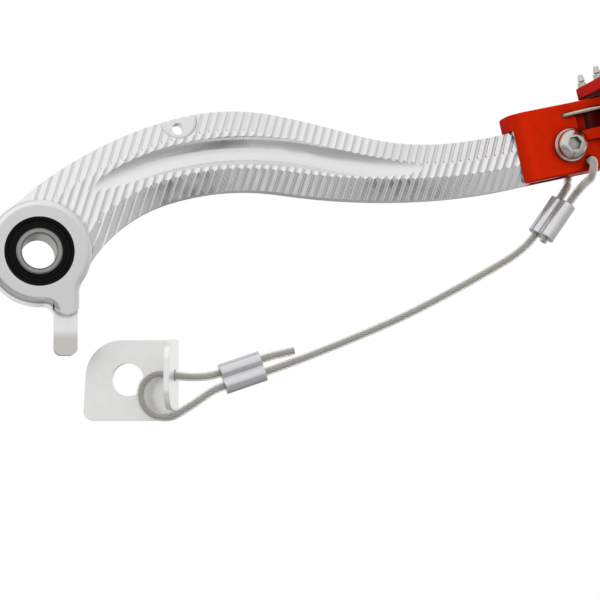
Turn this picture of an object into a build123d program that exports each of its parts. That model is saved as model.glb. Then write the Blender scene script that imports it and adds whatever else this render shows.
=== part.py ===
"""Rear brake pedal of a motorbike: ridged aluminium arm on a needle bearing, sprung folding tip, tether cable.

Frame, in millimetres: origin at the middle of the pivot bore, +X forwards to the tip, +Z up, +Y along the
pivot axis towards the bike, so that the outboard side of the pedal faces -Y.
"""

import math
import os

from build123d import *

os.makedirs("parts", exist_ok=True)

# Pivot: sleeve, seals and needle bearing in the boss
BOSS_R = 18.0
BOSS_W = 26.0
BOSS_RIM = 2.4
BORE_R = 6.0
SLEEVE_R = 8.0
SLEEVE_PROUD = 0.5
SEAL_R = 12.0
SEAL_W = 3.0
SEAL_SINK = 0.5
SEAL_RIM = 1.0
SEAL_GROOVE = 0.6
LIP_GAP = 0.05
SLEEVE_EDGE = 0.5
CUP_R = 11.0
CUP_WALL = 1.0
CUP_W = 16.0
CUP_LIP = 0.9
ROLLER_COUNT = 18
CAGE_WALL = 1.1
CAGE_RIM = 1.0
CAGE_PLAY = 0.2
CAGE_GAP = 0.08
RUNNING = 0.03
SEAT = 0.02

# Arm: two chains of tangent arcs, a bevel along each edge
ARM_T = 12.0
BEVEL_W = 7.8
BEVEL_D = 2.1
TOP_START_ANGLE = 45.0
BOTTOM_START_ANGLE = 62.0
BOSS_TANGENT = BOSS_R * math.sqrt(0.5)
TOP_POINTS = [(-BOSS_TANGENT, BOSS_TANGENT), (47, 48.4), (84, 50.6), (112, 44.6), (146, 42.2), (173, 47.5)]
BOTTOM_POINTS = [(16.5, -6), (45, 18.5), (86, 22.9), (140, 21.7), (177.5, 28)]

# Ridges: parallel passes of a ball cutter over the outboard face
RIDGE_LEAN = 17.0
RIDGE_PITCH = 3.05
RIDGE_R = 2.6
RIDGE_DEPTH = 0.36
RIDGE_PROUD = 0.03
RIDGE_LEVEL = 30.0
RIDGE_LEAD = 0.3
RIDGE_RUN = 2.0
RIDGE_FLAT = 0.02
RIDGE_FIRST = 2.5
RIDGE_LAST = 178.2

# Spindle pocket along the arm: a ball cutter climbs out of the face rearwards and forwards from its deepest point
POCKET_X = 76.0
POCKET_Z = 37.75
POCKET_R = 5.8
POCKET_DEPTH = 3.3
POCKET_REAR_BEND = 115.0
POCKET_REAR_LEAN = 11.5
POCKET_REAR_ANGLE = 32.0
POCKET_TURN_ANGLE = 10.6
POCKET_FRONT_BEND = 174.0
POCKET_FRONT_LEAN = 14.5
POCKET_FRONT_ANGLE = 16.0

# Return-spring hole with its spot faces
HOOK_X = 48.5
HOOK_Z = 45.0
HOOK_R = 2.1
SPOT_R = 6.6
SPOT_Z = 47.8
SPOT_T = 7.4

# Tail under the boss
TAIL_LEFT = 5.8
TAIL_RIGHT = 13.8
LIP_Z = -16.5
LIP_R = 5.0
TAIL_END_Z = -35.3
TAIL_INNER_R = 4.0
TAIL_OUTER_R = 6.0
TAB_FRONT_Y = -1.0
TAB_END_R = 2.6

# Tip frame: its origin is on the carrier screw, u runs forwards along the carrier, v across it
TIP_ANGLE = 12.5
SCREW_X = 191.5
SCREW_Z = 42.0

# Carrier over the end of the arm
CARRIER_REAR = -20.0
CARRIER_FRONT = 16.0
CARRIER_OUT_Y = -9.0
CARRIER_IN_Y = 10.0
CARRIER_LOW = -10.3
CARRIER_HIGH = 15.4
CARRIER_NOSE_R = 6.5
CARRIER_END_R = 4.0
CARRIER_EDGE = 0.5
TONGUE_REAR = -19.0
TONGUE_FRONT = 7.0
TONGUE_LOW = -9.8
TONGUE_HIGH = 9.5
TONGUE_CUT_U = -2.0
TONGUE_CUT_V = -2.0
TONGUE_GAP = 0.05

# Fork of the carrier, which turns outboard to the tip pivot
PIVOT_U = 24.0
PIVOT_Y = -12.5
FORK_R = 10.0
FORK_LOW = 0.5
FORK_ROOT_U = 9.0
FLARE_R = 14.0
GAP_LOW = 4.4
GAP_HIGH = 12.0
GAP_R = 16.5
GAP_ROOT_U = 4.5
GAP_ROOT_Y = -6.8

# Carrier screw and washer
SCREW_R = 3.0
SCREW_HOLE_R = 3.2
HEAD_R = 5.5
HEAD_H = 4.6
HEAD_ROUND = 3.0
WASHER_R = 6.0
WASHER_T = 1.5
HEX_AF = 4.5
HEX_DEPTH = 2.0
SPOTFACE_R = 6.8

# Folding tip
PAD_GAP = 1.0
PAD_T = 4.2
PAD_REAR = 9.9
PAD_FRONT = 40.5
PAD_IN_Y = 1.0
PAD_OUT_Y = -42.0
PAD_CORNER_R = 2.5
PAD_EDGE = 0.3
SHOULDER_R = 4.0
AXIAL_PLAY = 0.1
BOLT_HEAD_R = 6.5
BOLT_HEAD_H = 3.0
BOLT_ROUND = 1.8
BOLT_THREAD_R = 3.0
NUT_AF = 10.0
NUT_H = 6.0
NUT_HEX_H = 4.2
NUT_COLLAR_STEP = 0.6
BOLT_TAIL = 0.8
THRUST_R = 8.5
STOP_R = 1.5
STOP_GAP = 0.1
STOP_OFFSET = 11.75
STOP_LOW = 4.7
STOP_SINK = 2.6

# Grip studs on the pad, in two rows
STUD_INSET = 1.9
STUD_PITCH = 17.0
STUD_ROWS = 2
STUD_COLUMNS = 3
STUD_COLLAR_R = 1.8
STUD_COLLAR_H = 1.7
STUD_NECK_R = 0.9
STUD_NECK_H = 0.5
STUD_HEAD_R = 1.4
STUD_TOP_R = 0.85
STUD_HEAD_H = 2.4
STUD_SHANK_R = 1.25
STUD_SHANK_H = 3.4

# Torsion spring of the tip
WIRE_R = 0.75
COIL_R = 6.4
COIL_PITCH = 1.7
COIL_TOP = 11.1
COIL_FULL_TURNS = 3
LEG_HOLD_U = 0.4
LEG_HOLD_Y = -9.35
LEG_HOOK = 2.4
LEG_ROOM = 0.2
LEG_PAST_PIN = 2.0
GROOVE_GAP = 0.1

# Tether: coated wire rope, two pressed ferrules and an angle bracket
CABLE_R = 1.5
CABLE_U = 6.5
CABLE_V = -6.9
CABLE_HOLE_R = 2.0
FERRULE_L = 15.0
FERRULE_R = 3.1
FERRULE_WAIST = 4.6
CRIMP_GAP = 0.03
TIP_FERRULE_CLEAR = 7.0
BRACKET_FERRULE_CLEAR = 4.0
BRACKET_X = 32.0
BRACKET_Y = 7.0
BRACKET_Z = -43.7
BRACKET_TURN = 19.0
BRACKET_T = 2.0
BRACKET_LEFT = -16.3
BRACKET_RIGHT = 18.1
BRACKET_HIGH = 14.0
BRACKET_LOW = -14.6
BRACKET_CORNER_R = 13.0
BRACKET_FOOT_R = 3.5
BRACKET_HEEL_R = 3.0
BRACKET_LEAN = 1.5
BRACKET_HOLE_R = 5.9
FLANGE_LOW = -10.8
FLANGE_H = 13.0
FLANGE_CORNER_R = 7.0
FLANGE_HOLE_H = 4.0
FLANGE_HOLE_Z = 1.4
FLANGE_HOLE_R = 2.1
BEND_R = 1.0

# Ends of the straight runs of cable through the ferrules' barrels
TIP_SHORT_END = (183.20, -1.84, 7.18)
TIP_SHORT_TOP = (197.03, -1.84, 26.76)
TIP_LONG_TOP = (194.51, 1.84, 28.54)
BRACKET_LONG_OUT = (83.39, -3.5, -39.8)
BRACKET_LONG_IN = (61.61, -3.5, -47.2)
BRACKET_SHORT_OUT = (81.84, -3.5, -35.26)

# Route of the cable from its short end at the tip ferrule to its free end at the bracket ferrule
ROUTE = [
    TIP_SHORT_END,
    TIP_SHORT_TOP,
    (198.4, -14.4, 30.2),
    (199.34, -13.2, 36.67),
    (199.34, 14.2, 36.67),
    (198.3, 15.3, 30.3),
    TIP_LONG_TOP,
    (179.50, 1.84, 7.29),
    (173.0, 1.7, 1.9),
    (158.2, 1.3, -6.6),
    (131.6, 0.0, -20.7),
    (105.0, -1.4, -31.7),
    (91.3, -2.6, -36.95),
    BRACKET_LONG_OUT,
    BRACKET_LONG_IN,
    (55.0, -3.5, -52.0),
    (46.2, -3.2, -57.4),
    (39.2, -1.6, -56.2),
    (35.9, -0.6, -51.2),
    (36.3, -0.6, -45.4),
    (40.6, -1.6, -41.6),
    (52.5, -2.8, -42.9),
    (60.06, -3.5, -42.66),
    BRACKET_SHORT_OUT,
    (90.2, -3.5, -33.4),
]

# Frames that several pieces share
TIP_U = Vector(1, 0, 0).rotate(Axis.Y, -TIP_ANGLE)
TIP_V = Vector(0, 0, 1).rotate(Axis.Y, -TIP_ANGLE)
TIP_SIDE = Plane(origin=(SCREW_X, 0, SCREW_Z), x_dir=TIP_U, z_dir=(0, -1, 0))
TIP_TOP = Plane(origin=(SCREW_X, 0, SCREW_Z), x_dir=TIP_U, z_dir=TIP_V)
PAD_LOW = CARRIER_HIGH + PAD_GAP
PAD_HIGH = PAD_LOW + PAD_T
SEAL_OUT_Y = BOSS_W / 2 - SEAL_SINK
SEAL_IN_Y = SEAL_OUT_Y - SEAL_W


def side_plane(y):
    """The plane square to the pivot axis at a given Y, with X to the right and Z up."""
    return Plane.XZ.offset(-y)


def tip_side_plane(y):
    """The tip frame's side plane at a given Y, with u to the right and v up."""
    return TIP_SIDE.offset(-y)


def save(part, name):
    """Labels a finished piece and writes it."""
    part.label = name
    export_step(part, f"parts/{name}.step")


def arc_chain(points, start_angle):
    """Tangent arcs through the points, leaving the first one at the given angle in degrees."""
    heading = Vector(1, 0).rotate(Axis.Z, start_angle)
    arcs = []
    for start, end in zip(points, points[1:]):
        arc = TangentArc(start, end, tangent=heading)
        heading = arc % 1
        arcs.append(arc)
    return arcs


# Ridge cutters: each pass is a straight prism with a round belly, laid on one facet of the arm
PASS_DIR = Vector(0, 1).rotate(Axis.Z, -RIDGE_LEAN)
HALF_CHORD = math.sqrt(RIDGE_R**2 - (RIDGE_R - RIDGE_DEPTH - RIDGE_PROUD) ** 2)


def pass_crossing(arcs, inwards_sign, pass_x, depth):
    """The point on a bevel, at a depth in from the arm's edge, where one pass crosses it, or None."""

    def spot(where):
        index = max(0, min(int(where), len(arcs) - 1))
        point = arcs[index] @ (where - index)
        heading = arcs[index] % (where - index)
        return point + Vector(-heading.Y, heading.X) * inwards_sign * depth

    def side(where):
        point = spot(where)
        return (point.X - pass_x) * PASS_DIR.Y - (point.Y - RIDGE_LEVEL) * PASS_DIR.X

    low, high = -RIDGE_LEAD, float(len(arcs))
    if side(low) * side(high) > 0:
        return None
    while high - low > 1e-6:
        middle = (low + high) / 2
        if side(low) * side(middle) <= 0:
            high = middle
        else:
            low = middle
    point = spot(low)
    return Vector(point.X, -ARM_T / 2 + BEVEL_D * (1 - depth / BEVEL_W), point.Y)


def ridge_section(origin, along, outwards):
    """The ball cutter's section across a pass, on a facet with the given outward normal."""
    plane = Plane(origin=origin, x_dir=along.cross(outwards), z_dir=-along)
    with BuildSketch(plane, mode=Mode.PRIVATE) as section:
        with BuildLine():
            belly = ThreePointArc((-HALF_CHORD, RIDGE_PROUD), (0, -RIDGE_DEPTH), (HALF_CHORD, RIDGE_PROUD))
            Line(belly @ 1, belly @ 0)
        make_face()
    return section.sketch


def ridge_cutter(origin, along, outwards, reach):
    """One straight pass of the ball cutter."""
    with BuildPart(mode=Mode.PRIVATE) as cutter:
        extrude(ridge_section(origin, along, outwards), amount=reach, both=True)
    return cutter.part


def bevel_cutter(arcs, inwards_sign, pass_x):
    """The pass at pass_x over the bevel that follows one edge of the arm, or None where they don't meet."""
    spots = [pass_crossing(arcs, inwards_sign, pass_x, depth) for depth in (0, BEVEL_W / 2, BEVEL_W)]
    if None in spots:
        return None
    outer, middle, inner = spots
    chord = inner - outer
    along = chord.normalized()
    across = Vector(PASS_DIR.X, 0, PASS_DIR.Y).cross(Vector(0, -1, 0))
    outwards = along.cross(across) * -1
    if outwards.Y > 0:
        outwards = -outwards
    reach = chord.length / 2 + RIDGE_RUN
    bulge = (middle - (outer + inner) / 2).dot(outwards)
    if abs(bulge) < RIDGE_FLAT:
        return ridge_cutter(middle, along, outwards, reach)
    bend = (chord.length**2 / 4 + bulge**2) / (2 * abs(bulge))
    hub = Axis(middle - outwards * math.copysign(bend, bulge), along.cross(outwards))
    section = ridge_section(middle, along, outwards)
    with BuildPart(mode=Mode.PRIVATE) as cutter:
        revolve(section, axis=hub, revolution_arc=math.degrees(reach / bend))
        revolve(section, axis=hub.reverse(), revolution_arc=math.degrees(reach / bend))
    return cutter.part


def ridge_passes(arcs, inwards_sign):
    """All passes over the bevel along one edge."""
    count = int((RIDGE_LAST - RIDGE_FIRST) / RIDGE_PITCH)
    passes = [bevel_cutter(arcs, inwards_sign, RIDGE_FIRST + RIDGE_PITCH * i) for i in range(count + 1)]
    return [cutter for cutter in passes if cutter is not None]


def flat_passes():
    """All passes over the flat middle of the outboard face."""
    count = int((RIDGE_LAST - RIDGE_FIRST) / RIDGE_PITCH)
    along = Vector(PASS_DIR.X, 0, PASS_DIR.Y)
    outwards = Vector(0, -1, 0)
    starts = [Vector(RIDGE_FIRST + RIDGE_PITCH * i, -ARM_T / 2, RIDGE_LEVEL) for i in range(count + 1)]
    return [ridge_cutter(start, along, outwards, 3 * RIDGE_LEVEL) for start in starts]


with BuildLine(mode=Mode.PRIVATE):
    top_chain = arc_chain(TOP_POINTS, TOP_START_ANGLE)
with BuildLine(mode=Mode.PRIVATE):
    bottom_chain = arc_chain(BOTTOM_POINTS, BOTTOM_START_ANGLE)



# Pocket cutter: one arc through the deepest point that bends down, then one that bends up to the front end
POCKET_FOOT = Vector(POCKET_X, -ARM_T / 2 + POCKET_DEPTH - POCKET_R, POCKET_Z)
DOWN_LEAN = Vector(0, 0, -1).rotate(Axis.X, -POCKET_REAR_LEAN)
REAR_HUB = Axis(POCKET_FOOT + DOWN_LEAN * POCKET_REAR_BEND, Vector(1, 0, 0).cross(DOWN_LEAN))
TURN_FOOT = POCKET_FOOT - REAR_HUB.position
TURN_FOOT = REAR_HUB.position + TURN_FOOT.rotate(Axis((0, 0, 0), REAR_HUB.direction), POCKET_TURN_ANGLE)
TURN_DIR = Vector(1, 0, 0).rotate(Axis((0, 0, 0), REAR_HUB.direction), POCKET_TURN_ANGLE)
UP_LEAN = Vector(0, 0, 1).rotate(Axis.X, POCKET_FRONT_LEAN)
UP_LEAN = (UP_LEAN - TURN_DIR * UP_LEAN.dot(TURN_DIR)).normalized()
FRONT_HUB = Axis(TURN_FOOT + UP_LEAN * POCKET_FRONT_BEND, TURN_DIR.cross(UP_LEAN))

with BuildPart() as pocket:
    with BuildSketch(Plane(origin=POCKET_FOOT, z_dir=(1, 0, 0))):
        Circle(POCKET_R)
    revolve(axis=REAR_HUB, revolution_arc=POCKET_TURN_ANGLE)
    with BuildSketch(Plane(origin=POCKET_FOOT, z_dir=(-1, 0, 0))):
        Circle(POCKET_R)
    revolve(axis=REAR_HUB.reverse(), revolution_arc=POCKET_REAR_ANGLE)
    with BuildSketch(Plane(origin=TURN_FOOT, z_dir=TURN_DIR)):
        Circle(POCKET_R)
    revolve(axis=FRONT_HUB, revolution_arc=POCKET_FRONT_ANGLE)

# Boss and the upper tail, with one rounded rim around both
with BuildPart() as boss:
    with BuildSketch(side_plane(BOSS_W / 2)):
        Circle(BOSS_R)
        with Locations(((TAIL_LEFT + TAIL_RIGHT) / 2, TAIL_END_Z / 2)):
            Rectangle(TAIL_RIGHT - TAIL_LEFT, -TAIL_END_Z)
    extrude(amount=BOSS_W)
    uprights = boss.edges().filter_by(Axis.Y).filter_by(lambda edge: edge.center().X > 0)
    feet = uprights.group_by(Axis.Z)[0]
    inner, outer = (uprights - feet).sort_by(Axis.X)
    fillet(inner, radius=TAIL_INNER_R)
    fillet(outer, radius=TAIL_OUTER_R)
    fillet(boss.edges().filter_by(Axis.Y).group_by(Axis.Z)[0], radius=TAB_END_R)
    fillet(boss.faces().sort_by(Axis.Y)[0].edges(), radius=BOSS_RIM)
    fillet(boss.faces().sort_by(Axis.Y)[-1].edges(), radius=BOSS_RIM)
    with BuildSketch(side_plane(TAB_FRONT_Y)):
        with Locations(((TAIL_LEFT + TAIL_RIGHT) / 2, LIP_Z)):
            Rectangle(2 * LIP_R, -TAIL_END_Z, align=(Align.CENTER, Align.MAX))
            Circle(LIP_R, mode=Mode.SUBTRACT)
    extrude(amount=BOSS_W, mode=Mode.SUBTRACT)

# Arm: blank, bevels, ridges, then boss, pocket, tongue and holes
with BuildPart() as pedal_arm:
    with BuildSketch(side_plane(ARM_T / 2)):
        with BuildLine():
            upper = arc_chain(TOP_POINTS, TOP_START_ANGLE)
            lower = arc_chain(BOTTOM_POINTS, BOTTOM_START_ANGLE)
            Line(upper[-1] @ 1, lower[-1] @ 1)
            Line(upper[0] @ 0, (0, 0))
            Line((0, 0), lower[0] @ 0)
        make_face()
    extrude(amount=ARM_T)
    for place in (0, -1):
        broad = pedal_arm.faces().sort_by(Axis.Y)[place]
        rims = [edge for edge in broad.edges() if edge.geom_type == GeomType.CIRCLE]
        chamfer(rims, length=BEVEL_W, length2=BEVEL_D, reference=broad)
    add(flat_passes(), mode=Mode.SUBTRACT)
    add(ridge_passes(top_chain, -1), mode=Mode.SUBTRACT)
    add(ridge_passes(bottom_chain, 1), mode=Mode.SUBTRACT)
    with BuildSketch(tip_side_plane(ARM_T / 2)):
        with BuildLine():
            Polyline(
                (TONGUE_REAR, TONGUE_LOW),
                (TONGUE_CUT_U, TONGUE_LOW),
                (TONGUE_FRONT, TONGUE_CUT_V),
                (TONGUE_FRONT, TONGUE_HIGH),
                (TONGUE_REAR, TONGUE_HIGH),
                close=True,
            )
        make_face()
    extrude(amount=ARM_T)
    add(boss.part)
    add(pocket.part, mode=Mode.SUBTRACT)
    with BuildSketch(side_plane(-SPOT_T / 2)):
        with Locations((HOOK_X, SPOT_Z)):
            Circle(SPOT_R)
    extrude(amount=ARM_T / 2, mode=Mode.SUBTRACT)
    with BuildSketch(side_plane(SPOT_T / 2)):
        with Locations((HOOK_X, SPOT_Z)):
            Circle(SPOT_R)
    extrude(amount=-ARM_T / 2, mode=Mode.SUBTRACT)
    with BuildSketch(side_plane(ARM_T / 2)):
        with Locations((HOOK_X, HOOK_Z)):
            Circle(HOOK_R)
    extrude(amount=ARM_T, mode=Mode.SUBTRACT)
    with BuildSketch(tip_side_plane(ARM_T / 2)):
        Circle(SCREW_HOLE_R)
    extrude(amount=ARM_T, mode=Mode.SUBTRACT)
    with BuildSketch(side_plane(BOSS_W / 2)):
        Circle(CUP_R)
    extrude(amount=BOSS_W, mode=Mode.SUBTRACT)
    with BuildSketch(side_plane(BOSS_W / 2)):
        Circle(SEAL_R)
    extrude(amount=BOSS_W / 2 - SEAL_IN_Y, mode=Mode.SUBTRACT)
    with BuildSketch(side_plane(-BOSS_W / 2)):
        Circle(SEAL_R)
    extrude(amount=-(BOSS_W / 2 - SEAL_IN_Y), mode=Mode.SUBTRACT)
save(pedal_arm.part, "pedal_arm")

# Bearing in the boss, from the inside out
with BuildPart() as pivot_sleeve:
    with BuildSketch(side_plane(BOSS_W / 2 + SLEEVE_PROUD)):
        Circle(SLEEVE_R)
        Circle(BORE_R, mode=Mode.SUBTRACT)
    extrude(amount=BOSS_W + 2 * SLEEVE_PROUD)
    chamfer(pivot_sleeve.edges().filter_by(GeomType.CIRCLE), length=SLEEVE_EDGE)
save(pivot_sleeve.part, "pivot_sleeve")

RACE_R = CUP_R - CUP_WALL
CAGE_W = CUP_W - 2 * (CUP_WALL + CAGE_PLAY)
ROLLER_W = CAGE_W - 2 * CAGE_RIM
ROLLER_R = (RACE_R - SLEEVE_R) / 2 - RUNNING
PITCH_R = (RACE_R + SLEEVE_R) / 2

with BuildPart() as needle_rollers:
    with BuildSketch(side_plane(ROLLER_W / 2)):
        with PolarLocations(PITCH_R, ROLLER_COUNT):
            Circle(ROLLER_R)
    extrude(amount=ROLLER_W)
save(needle_rollers.part, "needle_rollers")

with BuildPart() as needle_cage:
    with BuildSketch(side_plane(CAGE_W / 2)):
        Circle(PITCH_R + CAGE_WALL / 2)
        Circle(PITCH_R - CAGE_WALL / 2, mode=Mode.SUBTRACT)
    extrude(amount=CAGE_W)
    with BuildSketch(side_plane(ROLLER_W / 2 + CAGE_GAP)):
        with PolarLocations(PITCH_R, ROLLER_COUNT):
            Rectangle(2 * CAGE_WALL, 2 * (ROLLER_R + CAGE_GAP))
    extrude(amount=ROLLER_W + 2 * CAGE_GAP, mode=Mode.SUBTRACT)
save(needle_cage.part, "needle_cage")

with BuildPart() as needle_cup:
    with BuildSketch(side_plane(CUP_W / 2)):
        Circle(CUP_R - SEAT)
        Circle(RACE_R - CUP_LIP, mode=Mode.SUBTRACT)
    extrude(amount=CUP_W)
    with BuildSketch(side_plane(CUP_W / 2 - CUP_WALL)):
        Circle(RACE_R)
    extrude(amount=CUP_W - 2 * CUP_WALL, mode=Mode.SUBTRACT)
save(needle_cup.part, "needle_cup")

with BuildPart() as inner_seal:
    with BuildSketch(Plane.XY):
        with BuildLine():
            Polyline(
                (SLEEVE_R + LIP_GAP, SEAL_IN_Y),
                (SEAL_R - SEAT, SEAL_IN_Y),
                (SEAL_R - SEAT, SEAL_OUT_Y),
                (SEAL_R - SEAL_RIM, SEAL_OUT_Y),
                (SEAL_R - SEAL_RIM - SEAL_GROOVE, SEAL_OUT_Y - SEAL_GROOVE),
                (SLEEVE_R + SEAL_RIM + SEAL_GROOVE, SEAL_OUT_Y - SEAL_GROOVE),
                (SLEEVE_R + SEAL_RIM, SEAL_OUT_Y - SEAL_GROOVE / 3),
                (SLEEVE_R + LIP_GAP, SEAL_OUT_Y - SEAL_GROOVE / 3),
                close=True,
            )
        make_face()
    revolve(axis=Axis.Y)
save(inner_seal.part, "inner_seal")

with BuildPart() as outer_seal:
    add(inner_seal.part)
    mirror(about=Plane.XZ, mode=Mode.REPLACE)
save(outer_seal.part, "outer_seal")

# Carrier: block over the tongue, fork that turns outboard to the tip pivot
CARRIER_MID_Y = (CARRIER_OUT_Y + CARRIER_IN_Y) / 2
CARRIER_W = CARRIER_IN_Y - CARRIER_OUT_Y

with BuildPart() as tip_carrier:
    with BuildSketch(TIP_TOP.offset(CARRIER_LOW)) as block_plan:
        with Locations(((CARRIER_REAR + CARRIER_FRONT) / 2, CARRIER_MID_Y)):
            Rectangle(CARRIER_FRONT - CARRIER_REAR, CARRIER_W)
        fillet(block_plan.vertices().group_by(Axis.X)[0], radius=CARRIER_NOSE_R)
        fillet(block_plan.vertices().group_by(Axis.X)[-1], radius=CARRIER_END_R)
    extrude(amount=CARRIER_HIGH - CARRIER_LOW)
    with BuildSketch(TIP_TOP.offset(FORK_LOW)):
        with Locations((PIVOT_U, PIVOT_Y)):
            Circle(FORK_R)
        with Locations(((FORK_ROOT_U + CARRIER_FRONT) / 2, CARRIER_MID_Y)):
            Rectangle(CARRIER_FRONT - FORK_ROOT_U, CARRIER_W)
        make_hull()
    extrude(amount=CARRIER_HIGH - FORK_LOW)
    flare_foot = TIP_TOP.from_local_coords(Vector(FORK_ROOT_U, CARRIER_OUT_Y, (FORK_LOW + CARRIER_HIGH) / 2))
    upright = Axis((0, 0, 0), TIP_V)
    flare_edge = tip_carrier.edges().filter_by(upright).sort_by_distance(flare_foot)[0]
    fillet(flare_edge, radius=FLARE_R)
    chamfer(tip_carrier.faces().sort_by(upright)[-1].edges(), length=CARRIER_EDGE)
    chamfer(tip_carrier.faces().sort_by(upright)[0].edges(), length=CARRIER_EDGE)
    with BuildSketch(TIP_TOP.offset(GAP_LOW)):
        with Locations((PIVOT_U, PIVOT_Y)):
            Circle(GAP_R)
        with Locations(((GAP_ROOT_U + PIVOT_U) / 2, GAP_ROOT_Y)):
            Rectangle(PIVOT_U - GAP_ROOT_U, 2 * GAP_R, align=(Align.CENTER, Align.MAX))
    extrude(amount=GAP_HIGH - GAP_LOW, mode=Mode.SUBTRACT)
    with BuildSketch(tip_side_plane(ARM_T / 2 + TONGUE_GAP)):
        with BuildLine():
            Polyline(
                (CARRIER_REAR - 1, CARRIER_LOW - 1),
                (TONGUE_CUT_U + TONGUE_GAP, CARRIER_LOW - 1),
                (TONGUE_CUT_U + TONGUE_GAP, TONGUE_LOW),
                (TONGUE_FRONT + TONGUE_GAP, TONGUE_CUT_V),
                (TONGUE_FRONT + TONGUE_GAP, TONGUE_HIGH + TONGUE_GAP),
                (CARRIER_REAR - 1, TONGUE_HIGH + TONGUE_GAP),
                close=True,
            )
        make_face()
    extrude(amount=ARM_T + 2 * TONGUE_GAP, mode=Mode.SUBTRACT)
    with BuildSketch(tip_side_plane(CARRIER_IN_Y)):
        Circle(SCREW_R + SEAT)
    extrude(amount=CARRIER_IN_Y, mode=Mode.SUBTRACT)
    with BuildSketch(tip_side_plane(0)):
        Circle(SCREW_HOLE_R)
    extrude(amount=-CARRIER_OUT_Y, mode=Mode.SUBTRACT)
    with BuildSketch(tip_side_plane(CARRIER_OUT_Y)):
        Circle(SPOTFACE_R)
    extrude(amount=CARRIER_W, mode=Mode.SUBTRACT)
    with BuildSketch(tip_side_plane(CARRIER_IN_Y)):
        with Locations((CABLE_U, CABLE_V)):
            Circle(CABLE_HOLE_R)
    extrude(amount=CARRIER_W, mode=Mode.SUBTRACT)
    with BuildSketch(TIP_TOP.offset(FORK_LOW)):
        with Locations((PIVOT_U, PIVOT_Y)):
            Circle(SHOULDER_R)
    extrude(amount=CARRIER_HIGH - FORK_LOW, mode=Mode.SUBTRACT)
    with BuildSketch(TIP_TOP.offset(COIL_TOP - WIRE_R - GROOVE_GAP)):
        with Locations((LEG_HOLD_U - WIRE_R - GROOVE_GAP, LEG_HOLD_Y + WIRE_R + GROOVE_GAP)):
            Rectangle(GAP_ROOT_U, FORK_R, align=(Align.MIN, Align.MAX))
    extrude(amount=2 * (WIRE_R + GROOVE_GAP), mode=Mode.SUBTRACT)
    with BuildSketch(tip_side_plane(LEG_HOLD_Y + LEG_HOOK + GROOVE_GAP)):
        with Locations((LEG_HOLD_U, COIL_TOP)):
            Circle(WIRE_R + GROOVE_GAP)
    extrude(amount=LEG_HOOK, mode=Mode.SUBTRACT)
save(tip_carrier.part, "tip_carrier")

with BuildPart() as carrier_washer:
    with BuildSketch(tip_side_plane(CARRIER_OUT_Y)):
        Circle(WASHER_R)
        Circle(SCREW_HOLE_R, mode=Mode.SUBTRACT)
    extrude(amount=WASHER_T)
save(carrier_washer.part, "carrier_washer")

HEAD_Y = CARRIER_OUT_Y - WASHER_T

with BuildPart() as carrier_screw:
    with BuildSketch(tip_side_plane(CARRIER_IN_Y)):
        Circle(SCREW_R)
    extrude(amount=CARRIER_IN_Y - HEAD_Y)
    with BuildSketch(tip_side_plane(HEAD_Y)):
        Circle(HEAD_R)
    extrude(amount=HEAD_H)
    fillet(carrier_screw.faces().sort_by(Axis.Y)[0].edges(), radius=HEAD_ROUND)
    with BuildSketch(tip_side_plane(HEAD_Y - HEAD_H)):
        RegularPolygon(HEX_AF / 2, 6, major_radius=False)
    extrude(amount=-HEX_DEPTH, mode=Mode.SUBTRACT)
save(carrier_screw.part, "carrier_screw")

# Folding tip: the flank of the fork is the line that touches its round end and its inner front corner
FLANK_REACH = Vector(CARRIER_FRONT - PIVOT_U, CARRIER_IN_Y - PIVOT_Y)
FLANK_ANGLE = math.degrees(math.atan2(FLANK_REACH.Y, FLANK_REACH.X) - math.acos(FORK_R / FLANK_REACH.length))
STOP_ANGLE = FLANK_ANGLE + math.degrees(math.acos((FORK_R + STOP_R + STOP_GAP) / STOP_OFFSET))
STOP_U = PIVOT_U + STOP_OFFSET * math.cos(math.radians(STOP_ANGLE))
STOP_Y = PIVOT_Y + STOP_OFFSET * math.sin(math.radians(STOP_ANGLE))
PAD_MID = ((PAD_REAR + PAD_FRONT) / 2, (PAD_OUT_Y + PAD_IN_Y) / 2)
STUD_ROW_PITCH = PAD_FRONT - PAD_REAR - 2 * STUD_INSET


with BuildPart() as tip_pad:
    with BuildSketch(TIP_TOP.offset(PAD_LOW)):
        with Locations(PAD_MID):
            RectangleRounded(PAD_FRONT - PAD_REAR, PAD_IN_Y - PAD_OUT_Y, PAD_CORNER_R)
    extrude(amount=PAD_T)
    chamfer(tip_pad.faces().sort_by(upright)[-1].edges(), length=PAD_EDGE)
    chamfer(tip_pad.faces().sort_by(upright)[0].edges(), length=PAD_EDGE)
    with BuildSketch(TIP_TOP.offset(PAD_LOW)):
        with Locations((PIVOT_U, PIVOT_Y)):
            Circle(SHOULDER_R)
        with Locations(PAD_MID):
            with GridLocations(STUD_ROW_PITCH, STUD_PITCH, STUD_ROWS, STUD_COLUMNS):
                Circle(STUD_SHANK_R + SEAT)
    extrude(amount=PAD_T, mode=Mode.SUBTRACT)
    with BuildSketch(TIP_TOP.offset(PAD_LOW)):
        with Locations((STOP_U, STOP_Y)):
            Circle(STOP_R + SEAT)
    extrude(amount=STOP_SINK, mode=Mode.SUBTRACT)
save(tip_pad.part, "tip_pad")

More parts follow.
